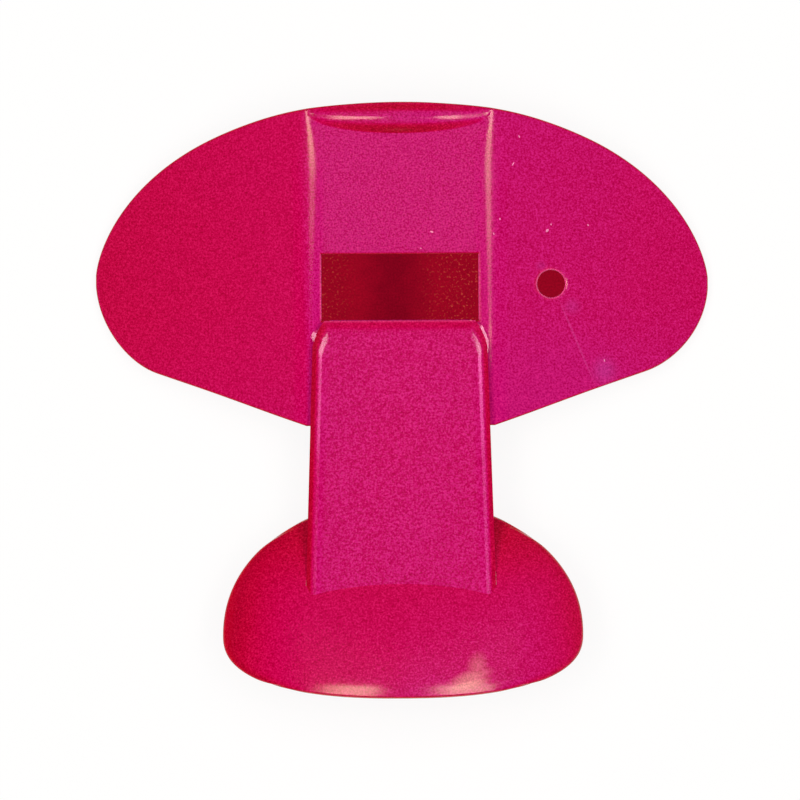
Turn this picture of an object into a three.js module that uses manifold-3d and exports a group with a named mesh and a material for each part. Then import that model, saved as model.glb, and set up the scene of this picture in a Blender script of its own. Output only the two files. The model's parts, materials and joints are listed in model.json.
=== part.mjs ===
// A moulded plastic nose flute, lying on its back with its front up.
// Four mouldings are cemented together: a mouth shield with the sound window, a cover that makes the
// air duct, a plate that closes the duct from behind, and a nose cup that the duct plugs into.
// x runs across the face, y from the nose end to the chin end, and z out of the front.

import * as THREE from 'three';
import { mergeVertices } from 'three/addons/utils/BufferGeometryUtils.js';
import Module from 'manifold-3d';

const wasm = await Module();
wasm.setup();

// Driving dimensions, in millimetres and degrees.

// Walls, and the film of cement between two mouldings.
const WALL = 1.6;
const JOINT_GAP = 0.1;

// Mouth shield, seen from the front.
const SHIELD_WIDTH = 78.6;
const CHIN_EDGE_Y = 38;
const WING_TIP_Y = 15.2;
const WING_ROOT_Y = -3.3;
const WING_CORNER_INSET = 8;
const WING_CORNER_RISE = 7;

// Lengths of the handles of the curves that round the shield's outline.
const CHIN_CURVE = 31.8;
const TIP_CURVE_CHIN = 6;
const TIP_CURVE_NOSE = 5.6;
const CORNER_CURVE = 4.2;

// The wings fall back from the flat panel, to lie along the cheeks.
const PANEL_WIDTH_AT_CHIN = 21.8;
const WING_TILT = 17;
const WING_RADIUS = 220;
const BEND_RADIUS = 2.4;

// Raised lip along the chin edge of the panel.
const LIP_OVERHANG = 0.8;
const LIP_WIDTH = 4.4;
const LIP_HEIGHT = 1.2;
const LIP_SETBACK = 1.4;

// Sound window, with the edge that splits the air stream along its chin side.
const WINDOW_WIDTH = 20;
const WINDOW_HEIGHT = 8.3;
const WINDOW_Y = 10.3;
const SPLIT_EDGE = 0.4;
const SPLIT_LENGTH = 4;

// Cord hole in the right wing.
const CORD_HOLE = 3.5;
const CORD_HOLE_X = 19.2;
const CORD_HOLE_Y = 15;

// Air duct.
const AIRWAY_WIDTH = 18;
const AIRWAY_HEIGHT = 1.6;
const TONGUE_HEIGHT = 0.7;
const DUCT_WIDTH_AT_WINDOW = 21.9;
const DUCT_WIDTH_AT_CUP = 23.9;
const DUCT_EDGE_WIDTH = 1.2;
const DUCT_EDGE_DEPTH = 0.8;
const DUCT_CORNER_WIDTH = 1.1;
const DUCT_CORNER_LENGTH = 2.3;
const PLATE_INSET = 1;

// Nose cup, seen from the front.
const CUP_WIDTH = 46.3;
const CUP_MIDDLE_Y = -29.9;
const CUP_BACK = 17.1;
const CUP_FRONT = 8.1;
const CUP_BACK_POWER = 2.1;
const CUP_FRONT_POWER = 2.45;
const CUP_RIM_ROUND = 0.5;

// Its crown rises from the crease on the duct's face to the front rim, and falls away to the duct's back.
const CREASE_Y = -23.4;
const CREST_Y = -36.7;
const CREST_RISE = 3.6;
const SPINE_POWER = 1.4;
const TAIL_FALL = 0.0226;

// The crown is a low dome from side to side. Past a rounded shoulder, its cheeks stand down on both sides.
const DOME_FALL = 4.7;
const DOME_POWER = 5.7;
const DOME_ROUND = 0.42;
const CUP_SHOULDER = 1.3;
const CUP_BRIM_SHARE = 0.25;
const CHEEK_TURN_X = [11.5, 17.5];
const CHEEK_DROP_X = [14.5, 21.5];

// How finely curved faces are divided.
const ARC_STEPS = 6;
const CUP_RINGS = 10;
const CUP_RIM_STEPS = 4;
const SHOULDER_STEPS = 5;
const CHEEK_STEPS = 3;
const CUP_SPOKES = 72;

// Levels and places that follow, with the front of the panel at z = 0.

const panelBack = -WALL;
const plateFront = panelBack - JOINT_GAP;
const plateBack = plateFront - WALL;
const airwayFloor = plateFront + TONGUE_HEIGHT;
const ductRoof = airwayFloor + AIRWAY_HEIGHT;
const ductFace = ductRoof + WALL;
const ductSkirt = plateFront + JOINT_GAP;
const ductEndY = CREASE_Y - 2.2 * WALL;
const shieldHalf = SHIELD_WIDTH / 2;
const windowTopY = WINDOW_Y + WINDOW_HEIGHT;
const through = 40;

// Half width of the duct's foot, which spreads evenly from the window to the cup.
function ductHalf(y) {
  const part = (WINDOW_Y - y) / (WINDOW_Y - CREASE_Y);
  return THREE.MathUtils.lerp(DUCT_WIDTH_AT_WINDOW, DUCT_WIDTH_AT_CUP, part) / 2;
}

const rootHalf = ductHalf(WING_ROOT_Y);

// Turns a three.js geometry into a solid that can be joined and cut.
function solid(geometry) {
  const bare = new THREE.BufferGeometry();
  bare.setAttribute('position', geometry.getAttribute('position'));
  bare.setIndex(geometry.index);
  const welded = mergeVertices(bare, 1e-5);
  return new wasm.Manifold(new wasm.Mesh({
    numProp: 3,
    vertProperties: new Float32Array(welded.getAttribute('position').array),
    triVerts: new Uint32Array(welded.index.array),
  }));
}

function moulding(name, body, colour) {
  const mesh = body.getMesh();
  const geometry = new THREE.BufferGeometry();
  geometry.setAttribute('position', new THREE.BufferAttribute(mesh.vertProperties, 3));
  geometry.setIndex(new THREE.BufferAttribute(mesh.triVerts, 1));
  geometry.computeVertexNormals();
  const plastic = new THREE.MeshStandardMaterial({ color: colour, roughness: 0.3 });
  const piece = new THREE.Mesh(geometry, plastic);
  piece.name = name;
  return piece;
}

function block(x0, x1, y0, y1, z0, z1) {
  const geometry = new THREE.BoxGeometry(x1 - x0, y1 - y0, z1 - z0);
  return solid(geometry.translate((x0 + x1) / 2, (y0 + y1) / 2, (z0 + z1) / 2));
}

function upright(shape, z0, z1) {
  const settings = { depth: z1 - z0, bevelEnabled: false, curveSegments: ARC_STEPS * 2 };
  return solid(new THREE.ExtrudeGeometry(shape, settings).translate(0, 0, z0));
}

// A closed solid through outlines of equal point count, stacked upwards in z.
function loft(rings) {
  const count = rings[0].points.length;
  const place = rings.flatMap((ring) => ring.points.flatMap((p) => [p.x, p.y, ring.z]));
  const index = [];
  for (let k = 0; k + 1 < rings.length; k += 1) {
    for (let i = 0; i < count; i += 1) {
      const j = (i + 1) % count;
      const low = k * count;
      const high = low + count;
      index.push(low + i, low + j, high + j, low + i, high + j, high + i);
    }
  }
  const top = (rings.length - 1) * count;
  THREE.ShapeUtils.triangulateShape(rings[0].points, []).forEach(([a, b, c]) => index.push(a, c, b));
  const cap = THREE.ShapeUtils.triangulateShape(rings.at(-1).points, []);
  cap.forEach(([a, b, c]) => index.push(top + a, top + b, top + c));
  const geometry = new THREE.BufferGeometry();
  geometry.setAttribute('position', new THREE.Float32BufferAttribute(place, 3));
  geometry.setIndex(index);
  return geometry;
}

// Mouth shield: a bent strip, cut to the oval outline. Its bends spread a little towards the chin.

function bentSection(panelHalf) {
  const tilt = THREE.MathUtils.degToRad(WING_TILT);
  const up = Math.PI / 2;
  const bend = BEND_RADIUS + WALL;
  const centreX = panelHalf + (bend - WING_RADIUS) * Math.sin(tilt);
  const centreZ = -bend + (bend - WING_RADIUS) * Math.cos(tilt);
  const reach = Math.asin((shieldHalf + 2 * WALL - centreX) / (WING_RADIUS - WALL));
  const strip = new THREE.Shape();
  strip.absarc(-centreX, centreZ, WING_RADIUS, up + reach, up + tilt, true);
  strip.absarc(-panelHalf, -bend, bend, up + tilt, up, true);
  strip.absarc(panelHalf, -bend, bend, up, up - tilt, true);
  strip.absarc(centreX, centreZ, WING_RADIUS, up - tilt, up - reach, true);
  strip.absarc(centreX, centreZ, WING_RADIUS - WALL, up - reach, up - tilt, false);
  strip.absarc(panelHalf, -bend, BEND_RADIUS, up - tilt, up, false);
  strip.absarc(-panelHalf, -bend, BEND_RADIUS, up, up + tilt, false);
  strip.absarc(-centreX, centreZ, WING_RADIUS - WALL, up + tilt, up + reach, false);
  return strip.getPoints(ARC_STEPS);
}

function bentStrip() {
  const strip = loft([
    { points: bentSection(PANEL_WIDTH_AT_CHIN / 2).reverse(), z: -CHIN_EDGE_Y },
    { points: bentSection(rootHalf - PLATE_INSET).reverse(), z: -WING_ROOT_Y },
  ]);
  return solid(strip.rotateX(Math.PI / 2));
}

function shieldOutline() {
  const cornerX = shieldHalf - WING_CORNER_INSET;
  const cornerY = WING_ROOT_Y + WING_CORNER_RISE;
  const edge = new THREE.Vector2(cornerX - rootHalf, cornerY - WING_ROOT_Y).setLength(CORNER_CURVE);
  const outX = cornerX + edge.x;
  const outY = cornerY + edge.y;
  const lowY = WING_TIP_Y - TIP_CURVE_NOSE;
  const highY = WING_TIP_Y + TIP_CURVE_CHIN;
  const outline = new THREE.Shape();
  outline.moveTo(-rootHalf, WING_ROOT_Y);
  outline.lineTo(rootHalf, WING_ROOT_Y);
  outline.lineTo(cornerX, cornerY);
  outline.bezierCurveTo(outX, outY, shieldHalf, lowY, shieldHalf, WING_TIP_Y);
  outline.bezierCurveTo(shieldHalf, highY, CHIN_CURVE, CHIN_EDGE_Y, 0, CHIN_EDGE_Y);
  outline.bezierCurveTo(-CHIN_CURVE, CHIN_EDGE_Y, -shieldHalf, highY, -shieldHalf, WING_TIP_Y);
  outline.bezierCurveTo(-shieldHalf, lowY, -outX, outY, -cornerX, cornerY);
  return outline;
}

function chinLip() {
  const lip = new THREE.SphereGeometry(1, 40, 16);
  lip.scale(PANEL_WIDTH_AT_CHIN / 2 + LIP_OVERHANG, LIP_WIDTH / 2, LIP_HEIGHT);
  return solid(lip.translate(0, CHIN_EDGE_Y - LIP_SETBACK, 0));
}

// The back of the window's chin side is cut away to a thin edge that meets the air stream.
function splitBevel() {
  const wedge = new THREE.Shape();
  wedge.moveTo(windowTopY - WALL, -SPLIT_EDGE);
  wedge.lineTo(windowTopY - WALL, -2 * WALL);
  wedge.lineTo(windowTopY + (SPLIT_LENGTH * (2 * WALL - SPLIT_EDGE)) / (WALL - SPLIT_EDGE), -2 * WALL);
  wedge.lineTo(windowTopY, -SPLIT_EDGE);
  const geometry = new THREE.ExtrudeGeometry(wedge, { depth: WINDOW_WIDTH, bevelEnabled: false });
  const across = new THREE.Vector3(1, 0, 0);
  const along = new THREE.Vector3(0, 1, 0);
  const out = new THREE.Vector3(0, 0, 1);
  geometry.applyMatrix4(new THREE.Matrix4().makeBasis(along, out, across));
  return solid(geometry.translate(-WINDOW_WIDTH / 2, 0, 0));
}

function mouthShield() {
  const half = WINDOW_WIDTH / 2;
  const slot = AIRWAY_WIDTH / 2;
  const hole = new THREE.CylinderGeometry(CORD_HOLE / 2, CORD_HOLE / 2, through, ARC_STEPS * 4);
  hole.rotateX(Math.PI / 2).translate(CORD_HOLE_X, CORD_HOLE_Y, 0);
  return bentStrip()
    .add(chinLip())
    .intersect(upright(shieldOutline(), -through, through))
    .subtract(block(-half, half, WINDOW_Y, windowTopY, -through, through))
    .subtract(block(-slot, slot, WING_ROOT_Y - WALL, WINDOW_Y + WALL, -through, through))
    .subtract(splitBevel())
    .subtract(solid(hole));
}

// Air duct: outlines that taper in plan, with a wide rounded edge round the face.

function ductOutline(inset, topY, endY) {
  const end = ductHalf(endY) - inset;
  const sideY = topY - DUCT_CORNER_LENGTH;
  const side = ductHalf(sideY) - inset;
  const top = ductHalf(topY) - inset;
  const outline = new THREE.Shape();
  outline.moveTo(-end, endY);
  outline.lineTo(end, endY);
  outline.lineTo(side, sideY);
  outline.quadraticCurveTo(top, topY, top - DUCT_CORNER_WIDTH, topY);
  outline.lineTo(DUCT_CORNER_WIDTH - top, topY);
  outline.quadraticCurveTo(-top, topY, -side, sideY);
  return outline;
}

// The box that the duct fills, from one level up to its face, grown all round by a clearance.
function ductBox(z0, grow, topY, endY) {
  const rings = [{ inset: 0, z: z0 - grow }];
  for (let k = 0; k <= ARC_STEPS; k += 1) {
    const turn = (k / ARC_STEPS) * (Math.PI / 2);
    const inset = DUCT_EDGE_WIDTH * (1 - Math.cos(turn));
    rings.push({ inset, z: ductFace - DUCT_EDGE_DEPTH * (1 - Math.sin(turn)) + grow });
  }
  return solid(loft(rings.map(({ inset, z }) => {
    const outline = ductOutline(inset - grow, topY - inset, endY - grow);
    return { points: outline.getPoints(ARC_STEPS), z };
  })));
}

function ductCover() {
  const airway = AIRWAY_WIDTH / 2;
  return ductBox(ductSkirt - WALL, 0, WINDOW_Y, ductEndY)
    .subtract(block(-through, through, -2 * through, through, -through, ductSkirt))
    .subtract(block(-through, through, WING_ROOT_Y - JOINT_GAP, through, -through, JOINT_GAP))
    .subtract(block(-airway, airway, ductEndY - WALL, WINDOW_Y + WALL, -through, ductRoof));
}

// The plate laps the back of the shield and of the duct's skirts, and its tongue stands in the slot.
function airwayFloorPlate() {
  const topY = WINDOW_Y - JOINT_GAP;
  const tongue = AIRWAY_WIDTH / 2 - JOINT_GAP;
  const lap = (plateFront + airwayFloor) / 2;
  return upright(ductOutline(PLATE_INSET, topY, ductEndY), plateBack, plateFront)
    .add(block(-tongue, tongue, ductEndY, topY, lap - TONGUE_HEIGHT, airwayFloor));
}

// Nose cup: a dome that falls along a spine, trimmed to a rounded outline, with cheeks at its sides.

function cupOutline(turn, inset) {
  const back = Math.sin(turn) > 0;
  const power = 2 / (back ? CUP_BACK_POWER : CUP_FRONT_POWER);
  const across = Math.sign(Math.cos(turn)) * Math.abs(Math.cos(turn)) ** power;
  const along = Math.sign(Math.sin(turn)) * Math.abs(Math.sin(turn)) ** power;
  const length = (back ? CUP_BACK : CUP_FRONT) - inset;
  return new THREE.Vector2(across * (CUP_WIDTH / 2 - inset), CUP_MIDDLE_Y + along * length);
}

function spineFall(y) {
  const crown = CREST_RISE * (Math.max(y - CREST_Y, 0) / (CREASE_Y - CREST_Y)) ** SPINE_POWER;
  return crown + TAIL_FALL * Math.max(y - CREASE_Y, 0) ** 2;
}

function domeHeight(p) {
  const out = Math.abs((2 * p.x) / CUP_WIDTH);
  const fall = DOME_FALL * THREE.MathUtils.lerp(out ** DOME_POWER, out ** 2, DOME_ROUND);
  return ductFace + CREST_RISE - spineFall(p.y) - fall;
}

// The outer face along one spoke: over the dome, round the shoulder and down the cheek.
function cupFace(spoke, restZ) {
  const turn = (spoke / CUP_SPOKES) * 2 * Math.PI;
  const centre = new THREE.Vector2(0, CUP_MIDDLE_Y);
  const brow = cupOutline(turn, CUP_SHOULDER);
  const upright = THREE.MathUtils.smoothstep(Math.abs(brow.x), ...CHEEK_TURN_X);
  const drop = THREE.MathUtils.smoothstep(Math.abs(brow.x), ...CHEEK_DROP_X);
  const out = cupOutline(turn, CUP_RIM_ROUND * (1 - upright)).sub(brow);
  const reach = out.length();
  out.normalize();
  const face = [];
  for (let r = 1; r <= CUP_RINGS; r += 1) {
    const p = centre.clone().lerp(brow, r / CUP_RINGS);
    face.push(new THREE.Vector3(p.x, p.y, domeHeight(p)));
  }
  const go = (length, angle) => {
    const way = new THREE.Vector3(out.x * Math.cos(angle), out.y * Math.cos(angle), -Math.sin(angle));
    face.push(face.at(-1).clone().addScaledVector(way, length));
  };
  const nudge = 0.01;
  const ahead = brow.clone().addScaledVector(out, nudge);
  const slope = Math.atan2(domeHeight(brow) - domeHeight(ahead), nudge);
  const turned = THREE.MathUtils.lerp(slope, Math.PI / 2, upright);
  const free = CUP_BRIM_SHARE * reach * (1 - upright);
  const angles = Array.from({ length: SHOULDER_STEPS }, (_, k) => {
    return THREE.MathUtils.lerp(slope, turned, (k + 0.5) / SHOULDER_STEPS);
  });
  const forward = angles.reduce((sum, angle) => sum + Math.cos(angle), 0);
  angles.forEach((angle) => go((reach - free) / forward, angle));
  const down = drop * (face.at(-1).z - restZ - CUP_RIM_ROUND) + free * Math.tan(turned);
  for (let k = 0; k < CHEEK_STEPS; k += 1) {
    go(Math.hypot(free, down) / CHEEK_STEPS, Math.atan2(down, free));
  }
  return face;
}

// One spoke's section through the wall: the outer face, round the rim and back inside.
function cupSection(faces, spoke, middle) {
  const face = faces[spoke];
  const next = faces[(spoke + 1) % CUP_SPOKES];
  const last = faces[(spoke + CUP_SPOKES - 1) % CUP_SPOKES];
  const inward = face.map((place, r) => {
    const along = (face[r + 1] ?? place).clone().sub(r > 0 ? face[r - 1] : middle);
    const across = next[r].clone().sub(last[r]);
    return across.cross(along).setLength(WALL);
  });
  const into = inward.at(-1);
  const rim = [];
  const end = face.at(-1);
  const outward = end.clone().sub(face.at(-2)).projectOnPlane(into).setLength(CUP_RIM_ROUND);
  for (let k = 1; k < CUP_RIM_STEPS; k += 1) {
    const turn = (k / CUP_RIM_STEPS) * Math.PI;
    const point = end.clone().addScaledVector(into, (1 - Math.cos(turn)) / 2);
    rim.push(point.addScaledVector(outward, Math.sin(turn)));
  }
  const inner = face.map((place, r) => place.clone().add(inward[r])).reverse();
  return [...face, ...rim, ...inner];
}

function noseCup(restZ) {
  const centre = new THREE.Vector2(0, CUP_MIDDLE_Y);
  const middle = new THREE.Vector3(0, CUP_MIDDLE_Y, domeHeight(centre));
  const faces = Array.from({ length: CUP_SPOKES }, (_, k) => cupFace(k, restZ));
  const spokes = faces.map((_, k) => cupSection(faces, k, middle));
  const steps = spokes[0].length;
  const under = spokes.reduce((sum, spoke) => sum + spoke.at(-1).z, 0) / CUP_SPOKES;
  const points = [middle, ...spokes.flat(), new THREE.Vector3(0, CUP_MIDDLE_Y, under)];
  const last = points.length - 1;
  const index = [];
  for (let k = 0; k < CUP_SPOKES; k += 1) {
    const here = 1 + k * steps;
    const next = 1 + ((k + 1) % CUP_SPOKES) * steps;
    index.push(0, here, next);
    for (let i = 0; i + 1 < steps; i += 1) {
      index.push(here + i, here + i + 1, next + i + 1, here + i, next + i + 1, next + i);
    }
    index.push(here + steps - 1, last, next + steps - 1);
  }
  const geometry = new THREE.BufferGeometry().setFromPoints(points);
  geometry.setIndex(index);
  return solid(geometry).subtract(ductBox(plateBack, JOINT_GAP, WING_ROOT_Y, ductEndY));
}

const shield = mouthShield();
const restZ = shield.boundingBox().min[2];

const flute = new THREE.Group();
flute.name = 'nose_flute';
flute.add(moulding('mouth_shield', shield, 0xc8124f));
flute.add(moulding('duct_cover', ductCover(), 0xc91a63));
flute.add(moulding('airway_floor', airwayFloorPlate(), 0xb30f45));
flute.add(moulding('nose_cup', noseCup(restZ), 0xc4104c));

// The flute rests on z = 0, with the middle of its footprint at the origin.
const size = new THREE.Box3().setFromObject(flute);
const middle = size.getCenter(new THREE.Vector3());
flute.position.set(-middle.x, -middle.y, -size.min.z);

export default flute;
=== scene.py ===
"""A nose flute of glossy crimson plastic, lying front up on a pale floor and seen from above.

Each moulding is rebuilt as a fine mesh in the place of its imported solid. Shapes are worked out in
millimetres with the front of the flat panel at z = 0, and are moved into the frame at the end.
"""
import json
import math

import bpy
import numpy as np
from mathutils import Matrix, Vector


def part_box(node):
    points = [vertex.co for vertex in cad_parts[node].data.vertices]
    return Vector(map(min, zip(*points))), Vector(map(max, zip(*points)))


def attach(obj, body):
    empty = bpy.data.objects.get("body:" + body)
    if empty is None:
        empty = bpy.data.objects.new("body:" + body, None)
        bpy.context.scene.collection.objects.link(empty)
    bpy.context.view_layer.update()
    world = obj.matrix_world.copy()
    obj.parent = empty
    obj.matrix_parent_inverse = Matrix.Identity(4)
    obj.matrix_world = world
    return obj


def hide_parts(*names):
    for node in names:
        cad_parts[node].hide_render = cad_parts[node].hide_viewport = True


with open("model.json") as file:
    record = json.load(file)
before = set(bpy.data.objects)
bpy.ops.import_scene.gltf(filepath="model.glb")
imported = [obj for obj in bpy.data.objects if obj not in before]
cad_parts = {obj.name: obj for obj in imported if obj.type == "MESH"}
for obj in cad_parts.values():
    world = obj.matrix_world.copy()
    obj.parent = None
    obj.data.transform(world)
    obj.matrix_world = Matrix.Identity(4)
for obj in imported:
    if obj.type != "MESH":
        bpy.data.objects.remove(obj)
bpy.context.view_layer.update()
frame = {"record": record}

MM = 0.001

panel_height = next(m["pos_m"][2] for m in frame["record"]["mounts"] if m["name"] == "panel_front")


def corners_mm(node):
    """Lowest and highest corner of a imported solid, in millimetres from the front of the panel."""
    low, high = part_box(node)
    lift = Vector((0, 0, panel_height))
    return (low - lift) / MM, (high - lift) / MM


shield_low, shield_high = corners_mm("mouth_shield")
cover_low, cover_high = corners_mm("duct_cover")
floor_low, floor_high = corners_mm("airway_floor")
cup_low, cup_high = corners_mm("nose_cup")

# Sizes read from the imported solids.
SHIELD_HALF = shield_high.x
CHIN_Y = shield_high.y
ROOT_Y = shield_low.y
DUCT_FACE = cover_high.z
DUCT_SKIRT = cover_low.z
DUCT_END_Y = cover_low.y
PLATE_BACK = floor_low.z
AIRWAY_FLOOR = floor_high.z
CUP_HALF = cup_high.x
CUP_TOP = cup_high.z
REST_Z = cup_low.z

# Wall of every moulding, the radius that eases its edges, and the film of cement in a joint.
WALL = 1.6
EDGE = 0.3
JOINT_GAP = 0.02

# Mouth shield. Its tips differ, so their places are given for the left and the right.
TIP_Y = (15.55, 14.85)
CORNER_INSET = 8
CORNER_RISE = 6.8
CHIN_CURVE = 32.3
TIP_CURVE_CHIN = 4.8
TIP_CURVE_NOSE = 5.6
CORNER_CURVE = 4.2
BEND_LINE = 11.66
BEND_FLARE = 0.5
BEND_PINCH = 0.8
BEND_FLARE_FROM_Y = 30
WING_TILT = math.radians(17)
WING_RADIUS = 220
BEND_RADIUS_AT_ROOT = 2.4
BEND_RADIUS_AT_CHIN = 13
BEND_SPREAD_POWER = 1.2

# Raised lip along the chin edge, with the place, height and slope of its section at a few stops.
LIP_HALF = 11.7
LIP_FOOT = 2.6
LIP_SETBACK = 1.4
LIP_HEIGHT = 1.1
LIP_TAPER_POWER = 1.55
LIP_SECTION = (
    (0, 0, 2.6), (0.35, 0.9, 0.8), (0.515, 0.987, 0.3), (0.56, 1, 0), (0.605, 0.987, -0.3),
    (0.74, 0.93, -0.6), (1, 0.42, -2),
)

# Sound window, the edge that splits the air stream, and the cord hole.
WINDOW_HALF = 10
WINDOW_LOW_Y = 10.08
WINDOW_HIGH_Y = 18.6
SPLIT_EDGE = 0.4
SPLIT_LENGTH = 4
HOLE_RADIUS = 1.75
HOLE = (19.25, 14.72)

# Air duct. The section of its edge is given like the lip's, from the wall in to the face.
AIRWAY_HALF = 9
AIRWAY_HEIGHT = 1.6
DUCT_HALF_AT_WINDOW = 11.05
DUCT_HALF_AT_CREASE = 12.1
DUCT_EDGE_WIDTH = 1.4
DUCT_EDGE_DEPTH = 0.546
DUCT_EDGE_SECTION = ((0, 0, 2), (0.3, 0.6, 2), (0.55, 0.88, 0.45), (0.85, 0.98, 0.27), (1, 1, 0))
DUCT_WALL_LEAN = 0.2
DUCT_END_STRETCH = 1.85
DUCT_CORNER_WIDTH = 1.45
DUCT_CORNER_LENGTH = 3.2
DUCT_CORNER_FULLNESS = 0.3
DUCT_CORNER_SHRINK = 0.4
DUCT_SEAT = 0.16
PLATE_INSET = 1

# Wedge of cement that shows at the foot of the duct's window corners, on the left and the right.
WEDGE_REACH = (0.72, 0.42)
WEDGE_HEIGHT = 0.15
WEDGE_SLOPE = (0.102, 0.125)
WEDGE_FROM_X = 9.8
WEDGE_STEP = 0.003
WEDGE_FROM_Y = (6.9, 4.2)
WEDGE_TO_Y = (9.4, 12)
WEDGE_FADE = (1.2, 2.5)

# Nose cup. The rounding of its dome is given at the brow and at the crease.
CUP_MIDDLE_Y = -29.9
CUP_LEFT_SLIMMER = 0.32
CUP_BACK = 17.1
CUP_FRONT = 8.1
CUP_BACK_POWER = 2.1
CUP_FRONT_POWER = 2.45
CUP_RIM_ROUND = 0.35
CREASE_Y = -23.4
CREST_Y = -36.95
SPINE_POWER = 1.4
TAIL_FALL = 0.0226
DOME_FALL = 5
DOME_POWER = 6.5
DOME_ROUND = (0.65, 0.4)
DOME_ROUND_POWER = (1.6, 2)
CUP_SHOULDER = 1.3
BROW_TURN = math.radians(39)
BROW_EDGE = 0.22
BROW_EDGE_LEAST = 0.15
CHEEK_LEAN = math.tan(math.radians(4))
CUP_BRIM_SHARE = 0.25
CHEEK_TURN_X = (11.5, 17.5)
CHEEK_DROP_X = (14.5, 21.5)

DUCT_ROOF = AIRWAY_FLOOR + AIRWAY_HEIGHT
DUCT_TAPER = (DUCT_HALF_AT_CREASE - DUCT_HALF_AT_WINDOW) / (WINDOW_LOW_Y - CREASE_Y)
WINDOW_MIDDLE_Y = (WINDOW_LOW_Y + WINDOW_HIGH_Y) / 2


def lerp(a, b, t):
    return a + (b - a) * t


def smooth(t):
    t = np.clip(t, 0, 1)
    return t * t * (3 - 2 * t)


def spread(start, end, count):
    """Values from start up to, but not including, end."""
    return np.linspace(start, end, count, endpoint=False)


def curve_through(stops, t):
    """Smooth curve through stops of place, height and slope."""
    place, height, slope = np.array(stops, float).T
    k = np.clip(np.searchsorted(place, t, side="right") - 1, 0, len(place) - 2)
    width = place[k + 1] - place[k]
    s = np.clip((t - place[k]) / width, 0, 1)
    between = lerp(height[k], height[k + 1], s * s * (3 - 2 * s))
    return between + width * s * (1 - s) * (slope[k] * (1 - s) - slope[k + 1] * s)


def duct_half(y):
    """Half width of the duct's foot, which spreads evenly from the window to the crease."""
    return DUCT_HALF_AT_WINDOW + DUCT_TAPER * (WINDOW_LOW_Y - y)


# Meshes

def mesh_object(name, points, faces):
    """An object of these faces, its points given in millimetres from the front of the panel."""
    mesh = bpy.data.meshes.new(name)
    place = np.asarray(points, float) * MM + (0, 0, panel_height)
    mesh.from_pydata([tuple(p) for p in place], [], [tuple(int(i) for i in f) for f in faces])
    mesh.validate()
    made = bpy.data.objects.new(name, mesh)
    bpy.context.scene.collection.objects.link(made)
    return made


def points_mm(piece):
    """A piece's points, in millimetres from the front of the panel."""
    flat = np.empty(3 * len(piece.data.vertices))
    piece.data.vertices.foreach_get("co", flat)
    return (flat.reshape(-1, 3) - (0, 0, panel_height)) / MM


def box_points(x0, x1, y0, y1, z0, z1):
    points = [(x, y, z) for z in (z0, z1) for y in (y0, y1) for x in (x0, x1)]
    faces = [(0, 2, 3, 1), (4, 5, 7, 6), (0, 1, 5, 4), (2, 6, 7, 3), (0, 4, 6, 2), (1, 3, 7, 5)]
    return points, faces


def loft(rings):
    """A closed solid through rings of equal point count, from the lowest up."""
    count = len(rings[0])
    beside = [(i, (i + 1) % count) for i in range(count)]
    faces = [tuple(range(count))[::-1]]
    for k in range(len(rings) - 1):
        low, high = k * count, (k + 1) * count
        faces += [(low + i, low + j, high + j, high + i) for i, j in beside]
    faces.append(tuple(range((len(rings) - 1) * count, len(rings) * count)))
    return np.vstack(rings), faces


def cut(piece, points, faces):
    """Cuts a closed shape out of a piece and applies the result to its mesh."""
    tool = mesh_object("cutter", points, faces)
    change = piece.modifiers.new("cut", "BOOLEAN")
    change.operation = "DIFFERENCE"
    change.solver = "EXACT"
    change.object = tool
    graph = bpy.context.evaluated_depsgraph_get()
    result = bpy.data.meshes.new_from_object(piece.evaluated_get(graph))
    piece.modifiers.clear()
    old = piece.data
    piece.data = result
    result.name = piece.name
    bpy.data.meshes.remove(old)
    bpy.data.objects.remove(tool)


SHARP_ANGLE = math.radians(38)


def finish_shading(piece):
    """Splits the shading at hard corners, and lets large faces keep their own direction."""
    piece.data.polygons.foreach_set("use_smooth", [True] * len(piece.data.polygons))
    piece.data.set_sharp_from_angle(angle=SHARP_ANGLE)
    weighted = piece.modifiers.new("weighted", "WEIGHTED_NORMAL")
    weighted.keep_sharp = True


def mark_rim_highlights(piece, rims):
    """Stores how far each point lies on a rim with a painted highlight, for the material."""
    piece.data.attributes.new("rim", "FLOAT", "POINT").data.foreach_set("value", rims)


# Mouth shield

CURVE_POINTS = 120
LINE_POINTS = 40


def bezier(a, b, c, d):
    t = spread(0, 1, CURVE_POINTS)[:, None]
    a, b, c, d = (np.array(p, float) for p in (a, b, c, d))
    return a * (1 - t) ** 3 + 3 * b * t * (1 - t) ** 2 + 3 * c * t * t * (1 - t) + d * t ** 3


def straight(a, b, count=LINE_POINTS):
    t = spread(0, 1, count)[:, None]
    return lerp(np.array(a, float), np.array(b, float), t)


def shield_edge(inset, tip_y):
    """Half of the outline, from the nose end round a tip to the chin, drawn in by inset."""
    root = np.array((duct_half(ROOT_Y), ROOT_Y))
    corner = np.array((SHIELD_HALF - CORNER_INSET, ROOT_Y + CORNER_RISE))
    along = (corner - root) / np.linalg.norm(corner - root)
    tip = (SHIELD_HALF, tip_y)
    nose_handle = (SHIELD_HALF, tip_y - TIP_CURVE_NOSE)
    chin_handle = (SHIELD_HALF, tip_y + TIP_CURVE_CHIN)
    edge = np.vstack([
        straight((0, ROOT_Y), root),
        straight(root, corner),
        bezier(corner, corner + along * CORNER_CURVE, nose_handle, tip),
        bezier(tip, chin_handle, (CHIN_CURVE, CHIN_Y), (0, CHIN_Y)),
        [(0, CHIN_Y)],
    ])
    way = np.gradient(edge, axis=0)
    way /= np.linalg.norm(way, axis=1)[:, None]
    return edge - inset * np.column_stack([way[:, 1], -way[:, 0]])


def chin_share(y):
    """How far a place lies along the shield, from its nose end to its chin edge."""
    return np.clip((y - ROOT_Y) / (CHIN_Y - ROOT_Y), 0, 1)


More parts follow.
